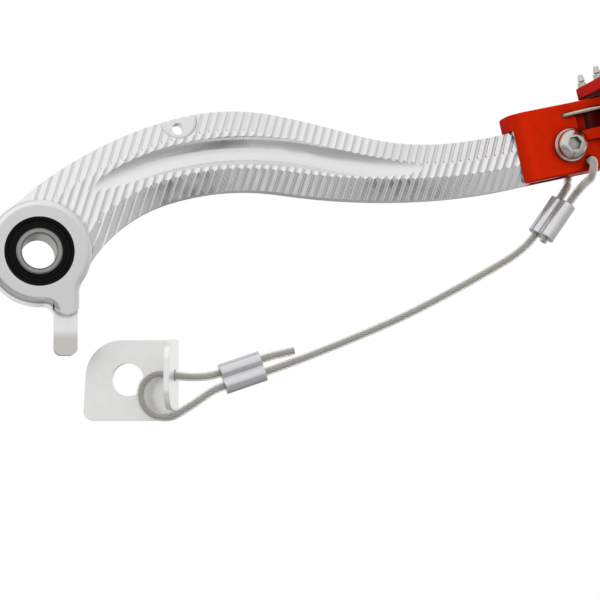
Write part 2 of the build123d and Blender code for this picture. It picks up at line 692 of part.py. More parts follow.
with BuildPart() as grip_studs:
    with BuildSketch(TIP_TOP.offset(PAD_HIGH - STUD_SHANK_H)):
        with Locations(PAD_MID):
            with GridLocations(STUD_ROW_PITCH, STUD_PITCH, STUD_ROWS, STUD_COLUMNS):
                Circle(STUD_SHANK_R)
    extrude(amount=STUD_SHANK_H)
    with BuildSketch(TIP_TOP.offset(PAD_HIGH)):
        with Locations(PAD_MID):
            with GridLocations(STUD_ROW_PITCH, STUD_PITCH, STUD_ROWS, STUD_COLUMNS):
                RegularPolygon(STUD_COLLAR_R, 6)
    extrude(amount=STUD_COLLAR_H)
    with BuildSketch(TIP_TOP.offset(PAD_HIGH + STUD_COLLAR_H)):
        with Locations(PAD_MID):
            with GridLocations(STUD_ROW_PITCH, STUD_PITCH, STUD_ROWS, STUD_COLUMNS):
                Circle(STUD_NECK_R)
    extrude(amount=STUD_NECK_H)
    with BuildSketch(TIP_TOP.offset(PAD_HIGH + STUD_COLLAR_H + STUD_NECK_H)):
        with Locations(PAD_MID):
            with GridLocations(STUD_ROW_PITCH, STUD_PITCH, STUD_ROWS, STUD_COLUMNS):
                Circle(STUD_HEAD_R)
    extrude(amount=STUD_HEAD_H, taper=math.degrees(math.atan2(STUD_HEAD_R - STUD_TOP_R, STUD_HEAD_H)))
save(grip_studs.part, "grip_studs")

BOLT_SEAT = PAD_HIGH + AXIAL_PLAY
NUT_TOP = FORK_LOW - AXIAL_PLAY

with BuildPart() as tip_pivot_bolt:
    with BuildSketch(TIP_TOP.offset(NUT_TOP)):
        with Locations((PIVOT_U, PIVOT_Y)):
            Circle(SHOULDER_R - RUNNING)
    extrude(amount=BOLT_SEAT - NUT_TOP)
    with BuildSketch(TIP_TOP.offset(BOLT_SEAT)):
        with Locations((PIVOT_U, PIVOT_Y)):
            Circle(BOLT_HEAD_R)
    extrude(amount=BOLT_HEAD_H)
    fillet(tip_pivot_bolt.faces().sort_by(upright)[-1].edges(), radius=BOLT_ROUND)
    with BuildSketch(TIP_TOP.offset(BOLT_SEAT + BOLT_HEAD_H)):
        with Locations((PIVOT_U, PIVOT_Y)):
            RegularPolygon(HEX_AF / 2, 6, major_radius=False)
    extrude(amount=-HEX_DEPTH, mode=Mode.SUBTRACT)
    with BuildSketch(TIP_TOP.offset(NUT_TOP)):
        with Locations((PIVOT_U, PIVOT_Y)):
            Circle(BOLT_THREAD_R)
    extrude(amount=-(NUT_H + BOLT_TAIL))
save(tip_pivot_bolt.part, "tip_pivot_bolt")

with BuildPart() as tip_locknut:
    with BuildSketch(TIP_TOP.offset(NUT_TOP)):
        with Locations((PIVOT_U, PIVOT_Y)):
            RegularPolygon(NUT_AF / 2, 6, major_radius=False)
    extrude(amount=-NUT_HEX_H)
    with BuildSketch(TIP_TOP.offset(NUT_TOP)):
        with Locations((PIVOT_U, PIVOT_Y)):
            Circle(NUT_AF / 2 - NUT_COLLAR_STEP)
    extrude(amount=-NUT_H)
    with BuildSketch(TIP_TOP.offset(NUT_TOP)):
        with Locations((PIVOT_U, PIVOT_Y)):
            Circle(BOLT_THREAD_R + SEAT)
    extrude(amount=-NUT_H, mode=Mode.SUBTRACT)
save(tip_locknut.part, "tip_locknut")

with BuildPart() as tip_thrust_washer:
    with BuildSketch(TIP_TOP.offset(CARRIER_HIGH)):
        with Locations((PIVOT_U, PIVOT_Y)):
            Circle(THRUST_R)
            Circle(SHOULDER_R, mode=Mode.SUBTRACT)
    extrude(amount=PAD_GAP - AXIAL_PLAY)
save(tip_thrust_washer.part, "tip_thrust_washer")

with BuildPart() as tip_stop_pin:
    with BuildSketch(TIP_TOP.offset(STOP_LOW)):
        with Locations((STOP_U, STOP_Y)):
            Circle(STOP_R)
    extrude(amount=PAD_LOW + STOP_SINK - STOP_LOW)
save(tip_stop_pin.part, "tip_stop_pin")

# Torsion spring: left-hand coil, one leg held at the carrier, the other against the stop pin
HOLD_REACH = Vector(LEG_HOLD_U - PIVOT_U, LEG_HOLD_Y - PIVOT_Y)
HOLD_ANGLE = math.degrees(math.atan2(HOLD_REACH.Y, HOLD_REACH.X) + math.acos(COIL_R / HOLD_REACH.length))
HOLD_LEG = math.sqrt(HOLD_REACH.length**2 - COIL_R**2)
PIN_LEVER = COIL_R - STOP_R - WIRE_R - LEG_ROOM
PIN_LEG_ANGLE = STOP_ANGLE - math.degrees(math.acos(PIN_LEVER / STOP_OFFSET))
PIN_LEG = math.sqrt(STOP_OFFSET**2 - PIN_LEVER**2) + LEG_PAST_PIN
COIL_TURNS = COIL_FULL_TURNS + (PIN_LEG_ANGLE - HOLD_ANGLE) % 360 / 360
COIL_FOOT = TIP_TOP.offset(COIL_TOP - COIL_TURNS * COIL_PITCH).from_local_coords(Vector(PIVOT_U, PIVOT_Y))
COIL_START = TIP_U.rotate(Axis((0, 0, 0), TIP_V), PIN_LEG_ANGLE)

COIL_PLANE = Plane(origin=COIL_FOOT, x_dir=COIL_START, z_dir=TIP_V)
COIL = COIL_PLANE.location * Helix(COIL_PITCH, COIL_TURNS * COIL_PITCH, COIL_R, lefthand=True)

with BuildPart() as tip_spring:
    with BuildLine() as coil:
        add(COIL)
    with BuildSketch(Plane(origin=coil.line @ 0, z_dir=coil.line % 0)):
        Circle(WIRE_R)
    sweep()
    pin_side = COIL_START.rotate(Axis((0, 0, 0), TIP_V), 90)
    with BuildSketch(Plane(origin=coil.line @ 0, z_dir=pin_side)):
        Circle(WIRE_R)
    extrude(amount=PIN_LEG)
    hold_side = TIP_U.rotate(Axis((0, 0, 0), TIP_V), HOLD_ANGLE - 90)
    with BuildSketch(Plane(origin=coil.line @ 1, z_dir=hold_side)):
        Circle(WIRE_R)
    extrude(amount=HOLD_LEG)
    with BuildSketch(tip_side_plane(LEG_HOLD_Y + LEG_HOOK)):
        with Locations((LEG_HOLD_U, COIL_TOP)):
            Circle(WIRE_R)
    extrude(amount=LEG_HOOK)
save(tip_spring.part, "tip_spring")


# Tether
def bend_radii(points):
    """Radius of the arc at each inner point, from 0.45 of the shorter run beside it."""
    radii = []
    for before, here, after in zip(points, points[1:], points[2:]):
        run_in = Vector(here) - Vector(before)
        run_out = Vector(after) - Vector(here)
        turn = math.radians(run_in.get_angle(run_out))
        radii.append(0.45 * min(run_in.length, run_out.length) / math.tan(turn / 2))
    return radii


BENDS = bend_radii(ROUTE)
print("Tether bend radii, mm:", *(round(bend, 1) for bend in BENDS))

with BuildPart() as tether_cable:
    with BuildLine() as route:
        FilletPolyline(*ROUTE, radius=BENDS)
    with BuildSketch(Plane(origin=route.line @ 0, z_dir=route.line % 0)):
        Circle(CABLE_R)
    sweep()
save(tether_cable.part, "tether_cable")


def ferrule_plane(near, mouth, partner, clear):
    """The mouth plane of a ferrule, square to the two runs of cable in its barrels, and their distance."""
    axis = (Vector(mouth) - Vector(near)).normalized()
    apart = Vector(partner) - Vector(mouth)
    apart -= axis * apart.dot(axis)
    origin = Vector(mouth) - axis * clear + apart / 2
    return Plane(origin=origin, x_dir=apart, z_dir=-axis), apart.length


tip_mouth, tip_pitch = ferrule_plane(TIP_SHORT_END, TIP_SHORT_TOP, TIP_LONG_TOP, TIP_FERRULE_CLEAR)
with BuildPart() as tip_ferrule:
    with BuildSketch(tip_mouth):
        Rectangle(tip_pitch, FERRULE_WAIST)
        with GridLocations(tip_pitch, 0, 2, 1):
            Circle(FERRULE_R)
            Circle(CABLE_R + CRIMP_GAP, mode=Mode.SUBTRACT)
    extrude(amount=FERRULE_L)
save(tip_ferrule.part, "tip_ferrule")

bracket_mouth, bracket_pitch = ferrule_plane(
    BRACKET_LONG_IN, BRACKET_LONG_OUT, BRACKET_SHORT_OUT, BRACKET_FERRULE_CLEAR
)
with BuildPart() as bracket_ferrule:
    with BuildSketch(bracket_mouth):
        Rectangle(bracket_pitch, FERRULE_WAIST)
        with GridLocations(bracket_pitch, 0, 2, 1):
            Circle(FERRULE_R)
            Circle(CABLE_R + CRIMP_GAP, mode=Mode.SUBTRACT)
    extrude(amount=FERRULE_L)
save(bracket_ferrule.part, "bracket_ferrule")

# Angle bracket: folded sheet, its flange turned outboard
SHEET_X = Vector(1, 0, 0).rotate(Axis.Z, -BRACKET_TURN)
SHEET_OUT = Vector(0, -1, 0).rotate(Axis.Z, -BRACKET_TURN)
SHEET = Plane(origin=(BRACKET_X, BRACKET_Y, BRACKET_Z), x_dir=SHEET_X, z_dir=SHEET_OUT)
FLANGE_FOOT = SHEET.from_local_coords(Vector(BRACKET_RIGHT, 0, -BRACKET_T))
FLANGE = Plane(origin=FLANGE_FOOT, x_dir=SHEET_OUT, z_dir=-SHEET_X)

with BuildPart() as tether_bracket:
    with BuildSketch(SHEET) as plate:
        with BuildLine():
            Polyline(
                (BRACKET_LEFT, BRACKET_LOW),
                (BRACKET_RIGHT, BRACKET_LOW),
                (BRACKET_RIGHT, BRACKET_HIGH),
                (BRACKET_LEFT + BRACKET_LEAN, BRACKET_HIGH),
                close=True,
            )
        make_face()
        left = plate.vertices().sort_by(Axis.X)[:2].sort_by(Axis.Y)
        fillet(left[1], radius=BRACKET_CORNER_R)
        foot = plate.vertices().sort_by(Axis.X)[0]
        fillet(foot, radius=BRACKET_FOOT_R)
        heel = plate.vertices().group_by(Axis.X)[-1].sort_by(Axis.Y)[0]
        fillet(heel, radius=BRACKET_HEEL_R)
        Circle(BRACKET_HOLE_R, mode=Mode.SUBTRACT)
    extrude(amount=-BRACKET_T)
    with BuildSketch(FLANGE) as flange:
        with BuildLine():
            Polyline(
                (0, FLANGE_LOW),
                (BRACKET_T + FLANGE_H, FLANGE_LOW),
                (BRACKET_T + FLANGE_H, BRACKET_HIGH),
                (0, BRACKET_HIGH),
                close=True,
            )
        make_face()
        fillet(flange.vertices().group_by(Axis.X)[-1], radius=FLANGE_CORNER_R)
        with Locations((BRACKET_T + FLANGE_HOLE_H, FLANGE_HOLE_Z)):
            Circle(FLANGE_HOLE_R, mode=Mode.SUBTRACT)
    extrude(amount=BRACKET_T)
save(tether_bracket.part, "tether_bracket")
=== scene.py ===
"""Rear brake pedal of a motorbike, dressed for a white studio.

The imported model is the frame: its solids stay where they are and get their finishes here. The tether
cable is the one piece that is made again, as a wire rope in a clear coat. All lengths are in metres.
"""

from __future__ import annotations

import logging
import math
from dataclasses import dataclass
from enum import Enum
from typing import Any, Protocol

import bmesh
import bpy
from mathutils import Euler, Matrix, Vector

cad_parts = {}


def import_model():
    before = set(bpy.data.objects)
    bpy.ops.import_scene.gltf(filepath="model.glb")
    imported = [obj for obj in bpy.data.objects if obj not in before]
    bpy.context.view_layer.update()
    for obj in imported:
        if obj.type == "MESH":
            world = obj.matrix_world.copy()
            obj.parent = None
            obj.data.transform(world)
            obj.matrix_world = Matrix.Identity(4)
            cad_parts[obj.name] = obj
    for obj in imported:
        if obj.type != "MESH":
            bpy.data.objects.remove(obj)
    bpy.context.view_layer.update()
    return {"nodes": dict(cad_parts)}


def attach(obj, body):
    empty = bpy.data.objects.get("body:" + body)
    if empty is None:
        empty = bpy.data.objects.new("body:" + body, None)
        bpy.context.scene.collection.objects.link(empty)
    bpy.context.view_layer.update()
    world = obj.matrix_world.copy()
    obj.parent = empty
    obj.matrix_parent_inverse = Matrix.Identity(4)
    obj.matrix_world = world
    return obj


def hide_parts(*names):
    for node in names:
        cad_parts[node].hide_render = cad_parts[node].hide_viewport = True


LOG = logging.getLogger("pedal")
MM = 0.001
WHITE = "FFFFFF"

# Noise textures keep mostly between these two values
NOISE_LOW = 0.3
NOISE_HIGH = 0.7

# Radians that a wave texture's diagonal bands turn through in one unit, square to the bands
BAND_TURN = 10 * math.sqrt(3)

# Rays that look for recesses around each point, for the painted shade
RECESS_SAMPLES = 8

Point = tuple[float, float, float]
Span = tuple[float, float]
Nodes = dict[str, bpy.types.Object]


class Body(str, Enum):
    """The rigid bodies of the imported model."""

    ARM = "arm"
    SLEEVE = "sleeve"
    NEEDLES = "needles"
    TIP = "tip"


class Slot(str, Enum):
    """A material slot name of the record, which nothing in this script reads."""

    CABLE = "cable_coat"


class Axis(str, Enum):
    """Directions in the studio: X towards the tip, Y away from the camera, Z up."""

    X = "X"
    Y = "Y"
    Z = "Z"


class Finish(Protocol):
    """Anything that can build a material."""

    def make(self) -> bpy.types.Material:
        """Builds the material."""


def linear(hex_colour: str) -> tuple[float, float, float, float]:
    """Turns an sRGB hex colour into linear RGBA.

    Args:
        hex_colour: Six hex digits, red first.

    Returns:
        The linear colour with full alpha.
    """
    channels = [int(hex_colour[i : i + 2], 16) / 255 for i in (0, 2, 4)]
    red, green, blue = (c / 12.92 if c <= 0.04045 else ((c + 0.055) / 1.055) ** 2.4 for c in channels)
    return red, green, blue, 1.0


def add_node(
    tree: bpy.types.NodeTree, kind: str, inputs: dict[Any, Any] | None = None, **settings: Any
) -> bpy.types.Node:
    """Adds a node with its settings, values and links.

    Args:
        tree: The node tree to add to.
        kind: The node's type name without ShaderNode, its first part.
        inputs: Socket name or index to a value, or to the output socket that feeds it.
        **settings: The node's own properties.

    Returns:
        The new node.
    """
    node = tree.nodes.new("ShaderNode" + kind)
    for name, value in settings.items():
        setattr(node, name, value)
    for name, value in (inputs or {}).items():
        if isinstance(value, bpy.types.NodeSocket):
            tree.links.new(value, node.inputs[name])
        else:
            node.inputs[name].default_value = value
    return node


def new_material(name: str) -> tuple[bpy.types.Material, bpy.types.NodeTree]:
    """Makes an empty node material.

    Args:
        name: The material's name.

    Returns:
        The material and its cleared node tree.
    """
    material = bpy.data.materials.new(name)
    material.use_nodes = True
    material.node_tree.nodes.clear()
    return material, material.node_tree


def dress(nodes: Nodes, names: tuple[str, ...], finish: Finish) -> list[str]:
    """Gives CAD nodes one finish.

    Args:
        nodes: The frame's objects by node name.
        names: The nodes to dress.
        finish: What to dress them in.

    Returns:
        The names of the dressed nodes.
    """
    material = finish.make()
    for name in names:
        slots = nodes[name].material_slots
        if not slots:
            nodes[name].data.materials.append(material)
        for slot in slots:
            slot.material = material
    return list(names)


# Milled aluminium: bright flanks with soft patches, a satin boss face and grey painted shade in its hollows
@dataclass(frozen=True)
class MilledAlloy:
    """Aluminium alloy, milled with a ball cutter and then tumbled bright.

    Attributes:
        name: The material's name.
        bright: Colour of the tumbled metal.
        satin: Colour of the boss faces.
        bare: Colour of the tail.
        recess_shade: Colour of the painted shade in the recesses.
        patch: Width of the soft patches that tumbling leaves.
        patch_limits: Noise values between which the polish changes.
        polished: Roughness of the tumbled metal, from its best to its worst patches.
        flank_lean: Lean towards the tip over which the flanks turn dull.
        flank_rough: Roughness of those flanks.
        matt_rough: Roughness of the boss faces and the tail.
        boss_face: Distance from the arm's middle plane beyond which the boss faces lie.
        boss_square: Least share of sideways that those faces look.
        tail_top: Height at which the tail begins to be bare.
        tail_low: Height from which it is all bare.
        recess: How far the painted shade looks for walls around it.
        open_air: Openness over which the painted shade fades.
        upward: Lean upwards over which the painted shade starts to fade.
        sideways: Sideways look over which that fade grows to its full.
        kept_shade: Share of the painted shade that then stays.
        line_gap: Spacing of the cutter lines.
        line_depth: Their depth.
        line_strength: Their strength.
    """

    name: str = "milled_aluminium"
    bright: str = "F2F2F3"
    satin: str = "E9E9EA"
    bare: str = "E3E0DA"
    recess_shade: str = "6A6A6E"
    patch: float = 6.0 * MM
    patch_limits: Span = (0.35, 0.7)
    polished: Span = (0.13, 0.24)
    flank_lean: Span = (0.1, 0.4)
    flank_rough: float = 0.6
    matt_rough: float = 0.42
    boss_face: float = 12.4 * MM
    boss_square: float = 0.98
    tail_top: float = -26.5 * MM
    tail_low: float = -29.5 * MM
    recess: float = 2.0 * MM
    open_air: Span = (0.3, 0.8)
    upward: Span = (0.15, 0.45)
    sideways: Span = (0.3, 0.6)
    kept_shade: float = 0.2
    # Real cutter lines are about 0.1 mm apart, these are drawn coarser so that they show
    line_gap: float = 0.798 * MM
    line_depth: float = 0.05 * MM
    line_strength: float = 0.05

    def make(self) -> bpy.types.Material:
        """Builds the material.

        Returns:
            The finished material.
        """
        material, tree = new_material(self.name)
        coordinates = add_node(tree, "TexCoord").outputs
        place = coordinates["Object"]
        lean = add_node(tree, "SeparateXYZ", {"Vector": coordinates["Normal"]}).outputs
        square = add_node(tree, "Math", {0: lean["Y"]}, operation="ABSOLUTE").outputs[0]
        boss, tail = self.add_matt_zones(tree, place, square)
        satin = add_node(
            tree,
            "Mix",
            {"Factor": boss, "A": linear(self.bright), "B": linear(self.satin)},
            data_type="RGBA",
        ).outputs["Result"]
        clean = add_node(
            tree, "Mix", {"Factor": tail, "A": satin, "B": linear(self.bare)}, data_type="RGBA"
        ).outputs["Result"]
        # Painted shade: the colour darkens where walls close in, in the hollows and next to other parts
        shade_mask = self.add_recess_shade(tree, lean["Z"], square)
        tint = add_node(
            tree, "Mix", {"Factor": shade_mask, "A": clean, "B": linear(self.recess_shade)}, data_type="RGBA"
        ).outputs["Result"]
        matt = add_node(tree, "Math", {0: boss, 1: tail}, operation="MAXIMUM").outputs[0]
        shader = add_node(
            tree,
            "BsdfPrincipled",
            {
                "Base Color": tint,
                "Metallic": 1.0,
                "Roughness": self.add_roughness(tree, place, lean["X"], matt),
                "Normal": self.add_cutter_lines(tree, place),
            },
        )
        add_node(tree, "OutputMaterial", {"Surface": shader.outputs["BSDF"]})
        return material

    def add_matt_zones(
        self, tree: bpy.types.NodeTree, place: bpy.types.NodeSocket, square: bpy.types.NodeSocket
    ) -> tuple[bpy.types.NodeSocket, bpy.types.NodeSocket]:
        """Masks the boss faces and the tail, which weren't polished.

        Args:
            tree: The material's nodes.
            place: The place on the arm.
            square: How squarely the surface looks sideways.

        Returns:
            The mask of the boss faces and that of the tail.
        """
        spot = add_node(tree, "SeparateXYZ", {"Vector": place}).outputs
        out = add_node(tree, "Math", {0: spot["Y"]}, operation="ABSOLUTE").outputs[0]
        near = add_node(tree, "Math", {0: out, 1: self.boss_face}, operation="GREATER_THAN").outputs[0]
        flat = add_node(tree, "Math", {0: square, 1: self.boss_square}, operation="GREATER_THAN").outputs[0]
        boss = add_node(tree, "Math", {0: near, 1: flat}, operation="MULTIPLY").outputs[0]
        tail = add_node(
            tree, "MapRange", {"Value": spot["Z"], "From Min": self.tail_top, "From Max": self.tail_low}
        ).outputs["Result"]
        return boss, tail

    def add_recess_shade(
        self, tree: bpy.types.NodeTree, upward: bpy.types.NodeSocket, square: bpy.types.NodeSocket
    ) -> bpy.types.NodeSocket:
        """Paints shade into the recesses, less where a surface looks up and sideways.

        Args:
            tree: The material's nodes.
            upward: How far the surface leans upwards.
            square: How squarely it looks sideways.

        Returns:
            The mask of the painted shade.
        """
        facing = add_node(tree, "NewGeometry").outputs["True Normal"]
        open_air = add_node(
            tree, "AmbientOcclusion", {"Distance": self.recess, "Normal": facing}, samples=RECESS_SAMPLES
        ).outputs["AO"]
        shut, clear = self.open_air
        enclosed = add_node(
            tree,
            "MapRange",
            {"Value": open_air, "From Min": shut, "From Max": clear, "To Min": 1.0, "To Max": 0.0},
        ).outputs["Result"]
        start, end = self.sideways
        kept_shade = add_node(
            tree,
            "MapRange",
            {"Value": square, "From Min": start, "From Max": end, "To Min": 1.0, "To Max": self.kept_shade},
        ).outputs["Result"]
        start, end = self.upward
        upward_fade = add_node(
            tree,
            "MapRange",
            {"Value": upward, "From Min": start, "From Max": end, "To Min": 1.0, "To Max": kept_shade},
        ).outputs["Result"]
        return add_node(tree, "Math", {0: enclosed, 1: upward_fade}, operation="MULTIPLY").outputs[0]

    def add_roughness(
        self,
        tree: bpy.types.NodeTree,
        place: bpy.types.NodeSocket,
        towards_tip: bpy.types.NodeSocket,
        matt: bpy.types.NodeSocket,
    ) -> bpy.types.NodeSocket:
        """Varies the polish in patches and dulls the flanks towards the tip, as the cutter left them.

        Args:
            tree: The material's nodes.
            place: The place on the arm.
            towards_tip: How far the surface leans towards the tip.
            matt: The mask of what wasn't polished.

        Returns:
            The roughness.
        """
        patches = add_node(
            tree, "TexNoise", {"Vector": place, "Scale": 1 / self.patch, "Detail": 4.0}
        ).outputs["Fac"]
        low, high = self.patch_limits
        best, worst = self.polished
        polish = add_node(
            tree,
            "MapRange",
            {"Value": patches, "From Min": low, "From Max": high, "To Min": best, "To Max": worst},
        ).outputs["Result"]
        start, end = self.flank_lean
        flank = add_node(
            tree, "MapRange", {"Value": towards_tip, "From Min": start, "From Max": end}
        ).outputs["Result"]
        worked = add_node(
            tree, "Mix", {"Factor": flank, "A": polish, "B": self.flank_rough}
        ).outputs["Result"]
        return add_node(
            tree, "Mix", {"Factor": matt, "A": worked, "B": self.matt_rough}
        ).outputs["Result"]

    def add_cutter_lines(
        self, tree: bpy.types.NodeTree, place: bpy.types.NodeSocket
    ) -> bpy.types.NodeSocket:
        """Draws the cutter's fine lines as a faint bump.

        Args:
            tree: The material's nodes.
            place: The place on the arm.

        Returns:
            The bumped normal.
        """
        scale = math.tau / (BAND_TURN * self.line_gap)
        lines = add_node(
            tree,
            "TexWave",
            {"Vector": place, "Scale": scale, "Distortion": 1.5, "Detail": 2.0},
            wave_type="BANDS",
            bands_direction="DIAGONAL",
        ).outputs["Fac"]
        return add_node(
            tree, "Bump", {"Height": lines, "Strength": self.line_strength, "Distance": self.line_depth}
        ).outputs["Normal"]


@dataclass(frozen=True)
class PlainMetal:
    """A metal of one colour with fine surface grain: turned, ground, drawn, pressed, tumbled or anodised,
    and painted shade in its recesses.

    Attributes:
        name: The material's name.
        colour: Its main colour.
        shade: The colour of its darker patches.
        roughness: Its mean roughness.
        grain: Width of the grain, drawn coarser than the real hundredths of a millimetre so that it shows.
        glance: Colour of reflections at a low angle.
        metallic: Share of metal, less where a film lies on it.
        spread: How far the grain changes the roughness up and down.
        patch_grains: Width of the darker patches, in grains.
        stretch: How much finer the grain is along each axis.
        edge: Radius of the broken edges.
        relief: Height of the grain.
        relief_strength: Strength of the grain.
        recess: How far the painted shade looks for walls around it.
        recess_shade: Colour of the painted shade in the recesses.
        shut_below: Openness at which the painted shade is full.
        open_from: Openness at which it ends.
        alone: Whether only the piece's own walls cast the painted shade.
    """

    name: str
    colour: str
    shade: str
    roughness: float
    grain: float
    glance: str = WHITE
    metallic: float = 1.0
    spread: float = 0.08
    patch_grains: float = 12.0
    stretch: Point = (1.0, 1.0, 1.0)
    edge: float = 0.3 * MM
    relief: float = 0.02 * MM
    relief_strength: float = 0.35
    recess: float = 1.5 * MM
    recess_shade: str = "4A4742"
    shut_below: float = 0.2
    open_from: float = 0.75
    alone: bool = True

    def make(self) -> bpy.types.Material:
        """Builds the material.

        Returns:
            The finished material.
        """
        material, tree = new_material(self.name)
        place = add_node(tree, "TexCoord").outputs["Object"]
        drawn = add_node(tree, "Mapping", {"Vector": place, "Scale": self.stretch}).outputs["Vector"]
        fine = add_node(
            tree, "TexNoise", {"Vector": drawn, "Scale": 1 / self.grain, "Detail": 5.0, "Roughness": 0.6}
        ).outputs["Fac"]
        rough = add_node(
            tree,
            "MapRange",
            {
                "Value": fine,
                "From Min": NOISE_LOW,
                "From Max": NOISE_HIGH,
                "To Min": self.roughness - self.spread,
                "To Max": self.roughness + self.spread,
            },
        ).outputs["Result"]
        edge = add_node(tree, "Bevel", {"Radius": self.edge}).outputs["Normal"]
        bump = add_node(
            tree,
            "Bump",
            {"Height": fine, "Strength": self.relief_strength, "Distance": self.relief, "Normal": edge},
        ).outputs["Normal"]
        shader = add_node(
            tree,
            "BsdfPrincipled",
            {
                "Base Color": self.add_tint(tree, place),
                "Metallic": self.metallic,
                "Roughness": rough,
                "Normal": bump,
                "Specular Tint": linear(self.glance),
            },
        )
        add_node(tree, "OutputMaterial", {"Surface": shader.outputs["BSDF"]})
        return material

    def add_tint(self, tree: bpy.types.NodeTree, place: bpy.types.NodeSocket) -> bpy.types.NodeSocket:
        """Colours the metal in broad patches, with painted shade in its recesses.

        Args:
            tree: The material's nodes.
            place: The place on the piece.

        Returns:
            The colour.
        """
        patch = self.patch_grains * self.grain
        broad = add_node(
            tree, "TexNoise", {"Vector": place, "Scale": 1 / patch, "Detail": 2.0}
        ).outputs["Fac"]
        clean = add_node(
            tree,
            "Mix",
            {"Factor": broad, "A": linear(self.colour), "B": linear(self.shade)},
            data_type="RGBA",
        ).outputs["Result"]
        # Painted shade: darker where walls close in around the point
        open_air = add_node(
            tree,
            "AmbientOcclusion",
            {"Distance": self.recess},
            samples=RECESS_SAMPLES,
            only_local=self.alone,
        ).outputs["AO"]
        shade_mask = add_node(
            tree,
            "MapRange",
            {
                "Value": open_air,
                "From Min": self.shut_below,
                "From Max": self.open_from,
                "To Min": 1.0,
                "To Max": 0.0,
            },
        ).outputs["Result"]
        return add_node(
            tree, "Mix", {"Factor": shade_mask, "A": clean, "B": linear(self.recess_shade)}, data_type="RGBA"
        ).outputs["Result"]


# Galvanised wire: a warm grey zinc skin that shines softly
GALVANISED_WIRE = PlainMetal(
    name="galvanised_wire",
    colour="B5B1AA",
    shade="98948C",
    roughness=0.34,
    grain=0.4 * MM,
    metallic=0.7,
)

# Pressed aluminium: smooth from the dies, with stripes of light and dark along the ferrules
PRESSED_ALUMINIUM = PlainMetal(
    name="pressed_aluminium",
    colour="E6E6E8",
    shade="D8D8DB",
    roughness=0.25,
    grain=0.25 * MM,
    metallic=0.9,
    relief=0.003 * MM,
)

# Tumbled steel under a thin white zinc film: pale and even, with no sharp reflections
TUMBLED_STEEL = PlainMetal(
    name="tumbled_steel",
    colour="FAFAF8",
    shade="F1F1EF",
    roughness=0.37,
    grain=0.35 * MM,
    metallic=0.7,
)

# Turned steel: mid grey, with rings from the lathe around the bore
TURNED_STEEL = PlainMetal(
    name="turned_steel",
    colour="AFAEAB",
    shade="93928F",
    roughness=0.3,
    grain=0.5 * MM,
    stretch=(1.0, 8.0, 1.0),
)

# Ground steel: cool grey and glossy
GROUND_STEEL = PlainMetal(
    name="ground_steel",
    colour="B4B4B6",
    shade="9D9D9F",
    roughness=0.2,
    grain=0.4 * MM,
)

# Red anodised aluminium: a deep dyed film with a satin metal glow, and painted shade that turns it almost
# black in the fork's hollows, under the pad and around the screw
RED_ANODISED = PlainMetal(
    name="red_anodised_aluminium",
    colour="E42E0B",
    shade="D42709",
    roughness=0.32,
    grain=0.25 * MM,
    glance="C4260E",
    metallic=0.85,
    relief=0.01 * MM,
    recess=14 * MM,
    recess_shade="140403",
    open_from=0.85,
    alone=False,
)

# Stainless steel: pale, warm and glossy, with painted shade in its sockets and joints
STAINLESS_STEEL = PlainMetal(
    name="stainless_steel",
    colour="DDDBD5",
    shade="C4C1BA",
    roughness=0.18,
    grain=0.6 * MM,
    recess=4 * MM,
)

# Drawn spring wire: a straw-grey skin with a soft shine
SPRING_WIRE = PlainMetal(
    name="drawn_spring_wire",
    colour="D8D0C2",
    shade="B5AC9C",
    roughness=0.26,
    grain=0.4 * MM,
)


# Nitrile rubber: deep black and satin, so that the seal reads as one dark ring
@dataclass(frozen=True)
class NitrileRubber:
    """Moulded black nitrile rubber with a faint mould grain that varies its roughness."""

    name: str = "nitrile_rubber"
    colour: str = "050505"
    shade: str = "0A0A0B"
    rough: Span = (0.5, 0.68)
    ior: float = 1.42
    gloss: float = 0.2
    grain: float = 0.5 * MM
    relief: float = 0.03 * MM
    relief_strength: float = 0.2

    def make(self) -> bpy.types.Material:
        """Builds the material.

        Returns:
            The finished material.
        """
        material, tree = new_material(self.name)
        place = add_node(tree, "TexCoord").outputs["Object"]
        fine = add_node(
            tree, "TexNoise", {"Vector": place, "Scale": 1 / self.grain, "Detail": 4.0}
        ).outputs["Fac"]
        tint = add_node(
            tree,
            "Mix",
            {"Factor": fine, "A": linear(self.colour), "B": linear(self.shade)},
            data_type="RGBA",
        ).outputs["Result"]
        low, high = self.rough
        rough = add_node(
            tree,
            "MapRange",
            {"Value": fine, "From Min": NOISE_LOW, "From Max": NOISE_HIGH, "To Min": low, "To Max": high},
        ).outputs["Result"]
        bump = add_node(
            tree, "Bump", {"Height": fine, "Strength": self.relief_strength, "Distance": self.relief}
        ).outputs["Normal"]
        shader = add_node(
            tree,
            "BsdfPrincipled",
            {
                "Base Color": tint,
                "Roughness": rough,
                "Normal": bump,
                "IOR": self.ior,
                "Specular IOR Level": self.gloss,
            },
        )
        add_node(tree, "OutputMaterial", {"Surface": shader.outputs["BSDF"]})
        return material


